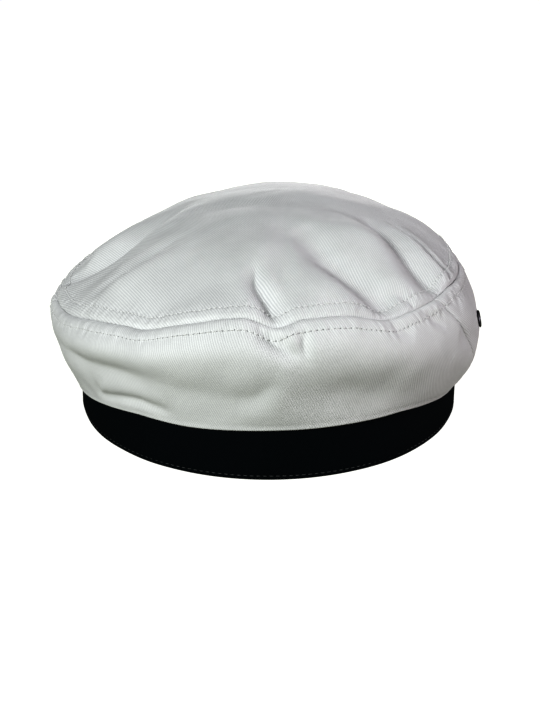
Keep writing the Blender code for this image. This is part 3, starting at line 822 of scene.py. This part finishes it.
# places of one side panel between two side seams, rolled under at the hem and tucked in at its seams
def placeSidePanel(isFront):
    build = sidePanelBuild
    rows = build["rows"]
    columns = build["frontColumns" if isFront else "backColumns"]

    def placeAll(u, v):
        row = np.rint(v * rows)
        column = np.rint(u * columns)
        clothRow = row - build["curlRows"]
        clothRows = rows - build["curlRows"] - build["tuckRows"]
        lowRows = clothRows - build["nearSeamRows"]
        guess = np.clip(clothRow / lowRows, 0, 1)
        spread = np.clip((column - 1) / (columns - 2), 0, 1)
        if isFront:
            spread = np.interp(spread, *build["frontSpread"])
        share = guess * build["firstShare"]
        for _ in range(build["settleSteps"]):
            left, right = sideSeamAngles(share)
            start, end = (right, left + 360) if isFront else (left, right)
            angle = start + (end - start) * spread
            band = build["nearSeam"] / lengthAt(sideLengths, angle)
            upper = 1 - band * (1 - np.clip((clothRow - lowRows) / build["nearSeamRows"], 0, 1))
            share = np.where(clothRow <= lowRows, guess * (1 - band), upper)
        trim = np.degrees(seamWork["gap"] / capSize["bandHalfWidth"])
        angle = np.clip(angle, start + trim, end - trim)
        points, normal = sideSurface(angle, share)
        lip = build["lipRadius"]
        points[:, 2] += lip * (1 - ramp(share, 0.0, build["lipFade"]))
        out = ovalPoint(angle, 1.0, 0.0) - ovalPoint(angle, 0.0, 0.0)
        curl = clothRow < 0
        turn = np.radians(180 * clothRow[curl] / build["curlRows"])
        points[curl] += out[curl] * (lip * (np.cos(turn) - 1))[:, None]
        points[curl, 2] += lip * np.sin(turn)
        corner, inward, across = seamCorner(angle)
        top = clothRow >= clothRows
        depth = np.clip((clothRow - clothRows) / build["tuckRows"], 0, 1) * seamWork["tuckDepth"]
        tucked = corner + inward * depth[:, None] - across * seamWork["gap"]
        points[top] = tucked[top]
        edge = (column == 0) | (column == columns)
        points[edge] -= (normal * build["edgeTuck"] * (1 - depth / seamWork["tuckDepth"])[:, None])[edge]
        lengths = lengthAt(sideLengths, angle)
        along = seamPlace(angle)
        height = share * lengths + np.where(curl, clothRow * build["curlStep"], 0.0)
        middle = seamPlace(capSize["crownTurn"] + (180 if isFront else 0))
        turn = (along - middle) / build["grainRadius"]
        radius = build["grainRadius"] + height
        weave = np.stack([radius * np.sin(turn), radius * np.cos(turn)], -1)
        seamWay = np.stack([along, (1 - share) * lengths + (clothRow > clothRows) * hiddenShift], -1)
        return points, weave, seamWay

    return placeAll


topPanelBuild = {
    "columns": 680,
    "rows": 66,
    "tuckRows": 3,
    "nearSeamRows": 17,
    "nearSeam": 0.0080,
    "rowPower": 0.9,
    "ribAngle": -28,
    "columnShares": (0, 0.15, 0.85, 1),
    "columnAngles": (-180, -92, 82, 180),     # closer columns at the back, where the folds are
}


# places of the top panel from its middle out to the upper seam, where it is tucked in
def placeTopPanel(u, v):
    build = topPanelBuild
    rows = build["rows"]
    row = np.rint(v * rows)
    angle = np.interp(u, build["columnShares"], build["columnAngles"])
    innerRows = rows - build["tuckRows"] - build["nearSeamRows"]
    clothRows = innerRows + build["nearSeamRows"]
    band = build["nearSeam"] / lengthAt(topLengths, angle)
    guess = np.clip(row / innerRows, 0, 1) ** build["rowPower"]
    upper = 1 - band * (1 - np.clip((row - innerRows) / build["nearSeamRows"], 0, 1))
    share = np.where(row <= innerRows, guess * (1 - band), upper)
    points, _ = topSurface(angle, share)
    corner, inward, across = seamCorner(angle)
    top = row >= clothRows
    depth = np.clip((row - clothRows) / build["tuckRows"], 0, 1) * seamWork["tuckDepth"]
    tucked = corner + inward * depth[:, None] + across * seamWork["gap"]
    points[top] = tucked[top]
    points[row == 0] = points[row == 0].mean(0)
    lengths = lengthAt(topLengths, angle)
    rim = plainSide(angle, np.ones_like(angle))
    middle = plainTop(angle, np.zeros_like(angle))
    way = rim[:, :2] - middle[:, :2]
    way /= np.linalg.norm(way, axis=1, keepdims=True)
    weave = way * (share * lengths)[:, None]
    seamWay = np.stack([seamPlace(angle), (1 - share) * lengths + (row > clothRows) * hiddenShift], -1)
    return points, weave, seamWay


topRow, sideRow = seamWork["topRow"], seamWork["sideRow"]
topHoleShade, sideHoleShade = whiteCloth["topHoleShade"], whiteCloth["sideHoleShade"]
clothTop = makeWhiteCloth("whiteTwillTop", topPanelBuild["ribAngle"], topRow, topHoleShade)
clothBack = makeWhiteCloth("whiteTwillBack", sidePanelBuild["backRibAngle"], sideRow, sideHoleShade)
clothFront = makeWhiteCloth("whiteTwillFront", sidePanelBuild["frontRibAngle"], sideRow, sideHoleShade)

topGrid = topPanelBuild["columns"], topPanelBuild["rows"]
backGrid = sidePanelBuild["backColumns"], sidePanelBuild["rows"]
frontGrid = sidePanelBuild["frontColumns"], sidePanelBuild["rows"]
crownTop = makePanel("crownTop", "crown_top", topGrid, placeTopPanel, clothTop)
print("top panel made")
crownBack = makePanel("crownBack", "crown_back", backGrid, placeSidePanel(False), clothBack)
eyeletCentres = [Vector(sideSurface(*eyeletPlace(side))[0][0]) for side in (-1, 1)]
ventHoles = [(centre, eyeletBuild["holeRadius"]) for centre in eyeletCentres]
crownFront = makePanel("crownFront", "crown_front", frontGrid, placeSidePanel(True), clothFront, ventHoles)
print("side panels made")


bandBuild = {
    "columns": 360,
    "height": capSize["bandHeight"],
    "wall": 0.0025,
    "edgeRadius": 0.0009,
    "faceRows": 40,
    "cornerSteps": 7,
    "edgeRows": 6,
    "backCrowding": 0.10,     # closer columns at the centre back
    "outerPart": 0.3,         # part of the wall's thickness that takes the relief
    "seamDepth": 0.00045,
    "seamWidth": 0.0007,
    "stitchHeight": 0.0019,
    "stitchPitch": 0.0026,
    "stitchLength": 0.0017,
    "threadRadius": 0.00014,
    "stitchSink": 0.00003,
    "stitchInset": 0.00025,
    "rowDip": 0.00016,
    "rowWidth": 0.0006,
    "rowEvenness": 0.5,
    "swayHeight": 0.00018,
    "swaySize": 0.03,
    "swaySeed": 7,
}

blackCloth = {
    "colour": (0.0042, 0.0078, 0.0100),
    # painted shade: the twill's grooves are coloured darker than its ribs
    "paintedGrooveShade": (0.0018, 0.0018, 0.0025),
    "ribsPerMetre": 1500.0,
    "yarnsPerMetre": 3000.0,
    "ribAngle": -30,
    "unevenness": 0.4,
    "bump": 0.5,
    "bumpHeight": 0.00012,
    "roughness": 0.80,
    "gloss": 0.06,
    "sheen": 0.0,
    "sheenRoughness": 0.5,
}


def makeBlackCloth():
    c = blackCloth
    material, tree, shader = clothMaterial("blackTwill", c)
    twill, colour = addTwill(tree, c, c["ribAngle"])
    # base colour with painted shade in the twill's grooves
    tree.links.new(colour.outputs["Result"], shader.inputs["Base Color"])
    addBump(tree, shader, twill.outputs["Height"], c["bump"], c["bumpHeight"])
    return material


# the band's wall as an outline: distances round it, with the reach and height at each
def bandOutline(count):
    b = bandBuild
    r = b["edgeRadius"]
    inner, outer = -b["wall"], 0.0
    corners = [
        (outer - r, r, -90, 0), (outer - r, b["height"] - r, 0, 90),
        (inner + r, b["height"] - r, 90, 180), (inner + r, r, 180, 270),
    ]
    outline = []
    for reach, height, start, end in corners:
        for turn in np.linspace(math.radians(start), math.radians(end), b["cornerSteps"]):
            outline.append((reach + r * math.cos(turn), height + r * math.sin(turn)))
    outline.append(outline[0])
    outline = np.array(outline)
    steps = np.concatenate([[0], np.cumsum(np.linalg.norm(np.diff(outline, axis=0), axis=1))])
    even = np.linspace(0, steps[-1], count + 1)
    return even, np.interp(even, steps, outline[:, 0]), np.interp(even, steps, outline[:, 1])


# places of the band, with its joining seam at the centre back and the dip of its stitches
def placeBand(u, v):
    b = bandBuild
    rows = 2 * (b["faceRows"] + b["edgeRows"])
    even, reaches, heights = bandOutline(rows)
    row = np.rint(v * rows).astype(int)
    reach, height = reaches[row], heights[row]
    angle = 360 * (u - b["backCrowding"] * np.sin(2 * math.pi * u) / (2 * math.pi)) - 180
    point = ovalPoint(angle, reach, height)
    outer = reach > -b["outerPart"] * b["wall"]
    across = np.radians(angle) * capSize["bandHalfWidth"]
    place = seamPlace(angle)
    relief = -b["seamDepth"] * np.exp(-(across / b["seamWidth"]) ** 2)
    beat = 0.5 + 0.5 * np.cos(2 * math.pi * place / b["stitchPitch"])
    pull = b["rowEvenness"] + (1 - b["rowEvenness"]) * beat
    relief = relief - b["rowDip"] * np.exp(-((height - b["stitchHeight"]) / b["rowWidth"]) ** 2) * pull
    relief = relief + b["swayHeight"] * (softNoise(point, b["swaySize"], b["swaySeed"]) - 1)
    out = ovalPoint(angle, 1.0, 0.0) - ovalPoint(angle, 0.0, 0.0)
    point = point + out * (relief * outer)[:, None]
    weave = np.stack([place, even[row]], -1)
    return point, weave, weave


blackTwill = makeBlackCloth()
bandRows = 2 * (bandBuild["faceRows"] + bandBuild["edgeRows"])
headBand = clothGrid("headBand", bandBuild["columns"], bandRows, placeBand, blackTwill)
ridesAs(headBand, "band")
print("band made")


stitchBuild = {
    "segments": 6,
    "arch": 1.6,
    "aimStep": 0.4,           # degrees to each side for the stitch's direction
}

threadLook = {
    "whiteColour": (0.86, 0.86, 0.85),
    "whiteRoughness": 0.6,
    "blackColour": (0.085, 0.09, 0.09),
    "blackRoughness": 0.5,
    "shade": 0.82,
    "twistScale": 3500.0,
    "bump": 0.4,
    "bumpHeight": 0.00008,
}


# one arched stitch, 1 long and 1 thick, lying along X
def makeStitchShape():
    bm = bmesh.new()
    segments = stitchBuild["segments"]
    lying = Matrix.Rotation(math.pi / 2, 4, "Y")
    bmesh.ops.create_uvsphere(bm, u_segments=segments, v_segments=segments, radius=0.5, matrix=lying)
    for vert in bm.verts:
        vert.co.z -= stitchBuild["arch"] * vert.co.x ** 2
    return meshOf("stitchShape", bm)


stitchShape = makeStitchShape()


# lays a stitch of a build's length at each place, along the row and proud of the cloth
def layStitches(bm, points, ways, normals, build):
    length, radius, sink = build["stitchLength"], build["threadRadius"], build["stitchSink"]
    for point, way, normal in zip(points, ways, normals):
        centre, along, up = Vector(point), Vector(way).normalized(), Vector(normal).normalized()
        side = up.cross(along).normalized()
        turn = Matrix((along, side, along.cross(side))).transposed().to_4x4()
        size = Matrix.Diagonal((length, 2 * radius, 2 * radius, 1.0))
        stitch = stitchShape.copy()
        stitch.transform(Matrix.Translation(centre + up * (radius - sink)) @ turn @ size)
        bm.from_mesh(stitch)
        bpy.data.meshes.remove(stitch)


def threadPiece(name, bm, material):
    mesh = meshOf(name, bm)
    mesh.shade_smooth()
    mesh.materials.append(material)
    ridesAs(addObject(name, mesh), None)


def makeThread(name, colour, roughness):
    look = threadLook
    material, tree, shader = newMaterial(name, {"Roughness": roughness})
    twist = objectNoise(tree, {"Scale": look["twistScale"]})
    tone = addColourMix(tree, [part * look["shade"] for part in colour], colour, twist)
    tree.links.new(tone.outputs["Result"], shader.inputs["Base Color"])
    addBump(tree, shader, twist, look["bump"], look["bumpHeight"])
    return material


whiteThread = makeThread("whiteThread", threadLook["whiteColour"], threadLook["whiteRoughness"])
blackThread = makeThread("blackThread", threadLook["blackColour"], threadLook["blackRoughness"])

stitchCount = int(seamLength / seamWork["stitchPitch"])
stitchPlaces = (np.arange(stitchCount) + 1) * seamWork["stitchPitch"]
stitchAngles = np.interp(stitchPlaces, seamDistance, seamAngles)


def rowOf(surface, lengths, row, angles):
    return surface(angles, 1 - row / lengthAt(lengths, angles))


whiteStitches = bmesh.new()
for surface, lengths, row in ((topSurface, topLengths, topRow), (sideSurface, sideLengths, sideRow)):
    points, normals = rowOf(surface, lengths, row, stitchAngles)
    before, _ = rowOf(surface, lengths, row, stitchAngles - stitchBuild["aimStep"])
    after, _ = rowOf(surface, lengths, row, stitchAngles + stitchBuild["aimStep"])
    layStitches(whiteStitches, points, after - before, normals, seamWork)
threadPiece("crownTopstitch", whiteStitches, whiteThread)

bandStitches = bmesh.new()
bandAngles = np.arange(-180, 180, math.degrees(bandBuild["stitchPitch"] / capSize["bandHalfWidth"]))
bandPoints = ovalPoint(bandAngles, -bandBuild["stitchInset"], bandBuild["stitchHeight"])
bandNormals = ovalPoint(bandAngles, 1.0, 0.0) - ovalPoint(bandAngles, 0.0, 0.0)
bandWays = ovalPoint(bandAngles + angleStep, 0.0, 0.0) - ovalPoint(bandAngles - angleStep, 0.0, 0.0)
layStitches(bandStitches, bandPoints, bandWays, bandNormals, bandBuild)
threadPiece("bandTopstitch", bandStitches, blackThread)
print("stitches laid")


metalLook = {
    "darkColour": (0.05, 0.05, 0.055),
    "lightColour": (0.13, 0.13, 0.14),
    "wearScale": 900.0,
    "wearDetail": 4.0,
    "smoothest": 0.28,
    "roughest": 0.50,
}


def makeEyeletMetal():
    look = metalLook
    material, tree, shader = newMaterial("darkMetal", {"Metallic": 1.0})
    wear = objectNoise(tree, {"Scale": look["wearScale"], "Detail": look["wearDetail"]})
    tone = addColourMix(tree, look["darkColour"], look["lightColour"], wear)
    tree.links.new(tone.outputs["Result"], shader.inputs["Base Color"])
    rough = addNode(tree, "ShaderNodeMapRange", {"To Min": look["smoothest"], "To Max": look["roughest"]})
    tree.links.new(wear, rough.inputs["Value"])
    tree.links.new(rough.outputs[0], shader.inputs["Roughness"])
    return material


darkMetal = makeEyeletMetal()


# a rolled ring with a short tube, spun round the hole's axis
def makeEyelet(name, node, side):
    e = eyeletBuild
    points, normals = sideSurface(*eyeletPlace(side))
    turned = Vector(normals[0]).to_track_quat("Z", "Y").to_matrix().to_4x4()
    flange, bore, wall = e["flangeRadius"], e["boreRadius"], e["wall"]
    outline = [(bore, -e["tubeDepth"]), (bore, e["lift"])]
    for turn in np.linspace(0, math.pi, e["rollSteps"] + 1):
        radius = (flange + bore) / 2 - math.cos(turn) * (flange - bore) / 2
        outline.append((radius, e["lift"] + e["rise"] * math.sin(turn)))
    outline += [(flange - wall, 0.0), (bore + wall, -e["undercut"]), (bore + wall, -e["tubeDepth"])]
    bm = bmesh.new()
    verts = [bm.verts.new((radius, 0, height)) for radius, height in outline]
    edges = [bm.edges.new(pair) for pair in zip(verts, verts[1:] + verts[:1])]
    bmesh.ops.spin(bm, geom=verts + edges, cent=(0, 0, 0), axis=(0, 0, 1), angle=2 * math.pi,
                   steps=e["turnSteps"], use_merge=True)
    bmesh.ops.remove_doubles(bm, verts=bm.verts, dist=mergeDistance)
    bmesh.ops.recalc_face_normals(bm, faces=bm.faces)
    bmesh.ops.transform(bm, matrix=Matrix.Translation(Vector(points[0])) @ turned, verts=bm.verts)
    mesh = meshOf(name, bm)
    mesh.shade_smooth()
    mesh.set_sharp_from_angle(angle=math.radians(e["sharpFrom"]))
    mesh.materials.append(darkMetal)
    ridesAs(addObject(name, mesh), node)


makeEyelet("ventEyeletRight", "eyelet_right", 1)
makeEyelet("ventEyeletLeft", "eyelet_left", -1)
print("eyelets made")


clothCut = {
    "allowance": 0.006,       # cloth turned in at every edge, just past the rows of stitches
    "rows": 41,               # the plain panel is measured on this grid
    "columns": 201,
}


# cut of a side panel: the plain panel without its folds, with the allowance all round
def sideCut(isFront):
    shares = np.linspace(0, 1, clothCut["rows"])[:, None]
    left, right = sideSeamAngles(shares)
    start, end = (right, left + 360) if isFront else (left, right)
    angles = start + (end - start) * np.linspace(0, 1, clothCut["columns"])
    places = plainSide(angles, shares)
    across, upward = np.diff(places, axis=1), np.diff(places, axis=0)
    surface = np.linalg.norm(np.cross(across[:-1], upward[:, :-1]), axis=-1).sum()
    lengths = np.linalg.norm(across, axis=-1).sum(1)
    edges = np.linalg.norm(upward, axis=-1).sum(0)
    allowance = clothCut["allowance"]
    around = lengths[0] + lengths[-1] + edges[0] + edges[-1]
    tallest = lengthAt(sideLengths, angles).max()
    flat = (float(lengths.max()) + 2 * allowance, float(tallest) + 2 * allowance)
    return flat, float(surface + around * allowance)


# the band is a doubled strip, as long as the middle of its wall with the joining seam's allowance
def bandCut():
    ring = ovalPoint(seamAngles, -bandBuild["wall"] / 2, 0.0)
    around = float(np.linalg.norm(np.diff(ring, axis=0), axis=-1).sum())
    return around + 2 * clothCut["allowance"], bandBuild["height"]


backFlat, backArea = sideCut(False)
frontFlat, frontArea = sideCut(True)
bandCut()


studio = {
    "cameraDistance": 0.600,
    "cameraElevation": 19.3,
    "target": (0.0007, 0.0, 0.0149),
    "lens": 64.0,
    "worldStrength": 0.13,
    "worldColour": (0.97, 0.98, 1.0),
    "backgroundStrength": 1.0,
    "contrast": 0.66,         # below 1 deepens the shades
    "floorSize": 8.0,
    "floorColour": (0.15, 0.165, 0.09, 1),
    "floorSeenColour": (1.0, 1.0, 1.0, 1),
}

softLights = {
    "keyLight": {"place": (-0.66, -1.34, 0.78), "aim": (0, 0, 0.05), "power": 27.5, "size": 0.45,
                 "colour": (0.972, 0.998, 1.0)},
    "fillLight": {"place": (1.42, -0.10, 0.26), "aim": (0, 0, 0.05), "power": 13.5, "size": 0.8,
                  "colour": (1.0, 0.94, 1.0)},
    "backLight": {"place": (0, 1.55, 0.16), "aim": (0, 0, 0.04), "power": 24.0, "size": 0.3,
                  "colour": (1.0, 0.99, 0.98)},
}


def addCamera():
    rise = math.radians(studio["cameraElevation"])
    data = bpy.data.cameras.new("camera")
    data.lens = studio["lens"]
    data.sensor_width = 36.0
    data.clip_start = 0.01
    data.clip_end = 30.0
    camera = addObject("camera", data)
    back = Vector((0, -math.cos(rise), math.sin(rise)))
    camera.location = Vector(studio["target"]) + back * studio["cameraDistance"]
    camera.rotation_euler = (math.pi / 2 - rise, 0, 0)
    bpy.context.scene.camera = camera


def addSoftLight(name, build):
    data = bpy.data.lights.new(name, "AREA")
    data.energy = build["power"]
    data.shape = "DISK"
    data.size = build["size"]
    data.color = build["colour"]
    light = addObject(name, data)
    light.location = build["place"]
    light.visible_camera = False
    way = Vector(build["aim"]) - Vector(build["place"])
    light.rotation_euler = way.to_track_quat("-Z", "Y").to_euler()


# a plain floor that is white to the camera and darker as a source of light
def addFloor():
    bm = bmesh.new()
    bmesh.ops.create_grid(bm, x_segments=1, y_segments=1, size=studio["floorSize"])
    mesh = meshOf("floor", bm)
    material, tree, shader = newMaterial("paleFloor", {
        "Base Color": studio["floorColour"], "Emission Color": studio["floorSeenColour"], "Roughness": 0.9,
    })
    seen = addNode(tree, "ShaderNodeLightPath")
    tree.links.new(seen.outputs["Is Camera Ray"], shader.inputs["Emission Strength"])
    mesh.materials.append(material)
    addObject("floor", mesh)


def addWorld():
    world = bpy.data.worlds.new("softStudio")
    world.use_nodes = True
    tree = world.node_tree
    sky = tree.nodes["Background"]
    sky.inputs["Color"].default_value = (*studio["worldColour"], 1)
    seen = addNode(tree, "ShaderNodeLightPath")
    strengths = {"To Min": studio["worldStrength"], "To Max": studio["backgroundStrength"]}
    strength = addNode(tree, "ShaderNodeMapRange", strengths)
    tree.links.new(seen.outputs["Is Camera Ray"], strength.inputs["Value"])
    tree.links.new(strength.outputs[0], sky.inputs["Strength"])
    bpy.context.scene.world = world
    bpy.context.scene.view_settings.view_transform = "Standard"
    bpy.context.scene.view_settings.gamma = studio["contrast"]


addCamera()
addFloor()
addWorld()
for name, build in softLights.items():
    addSoftLight(name, build)
print("studio set")
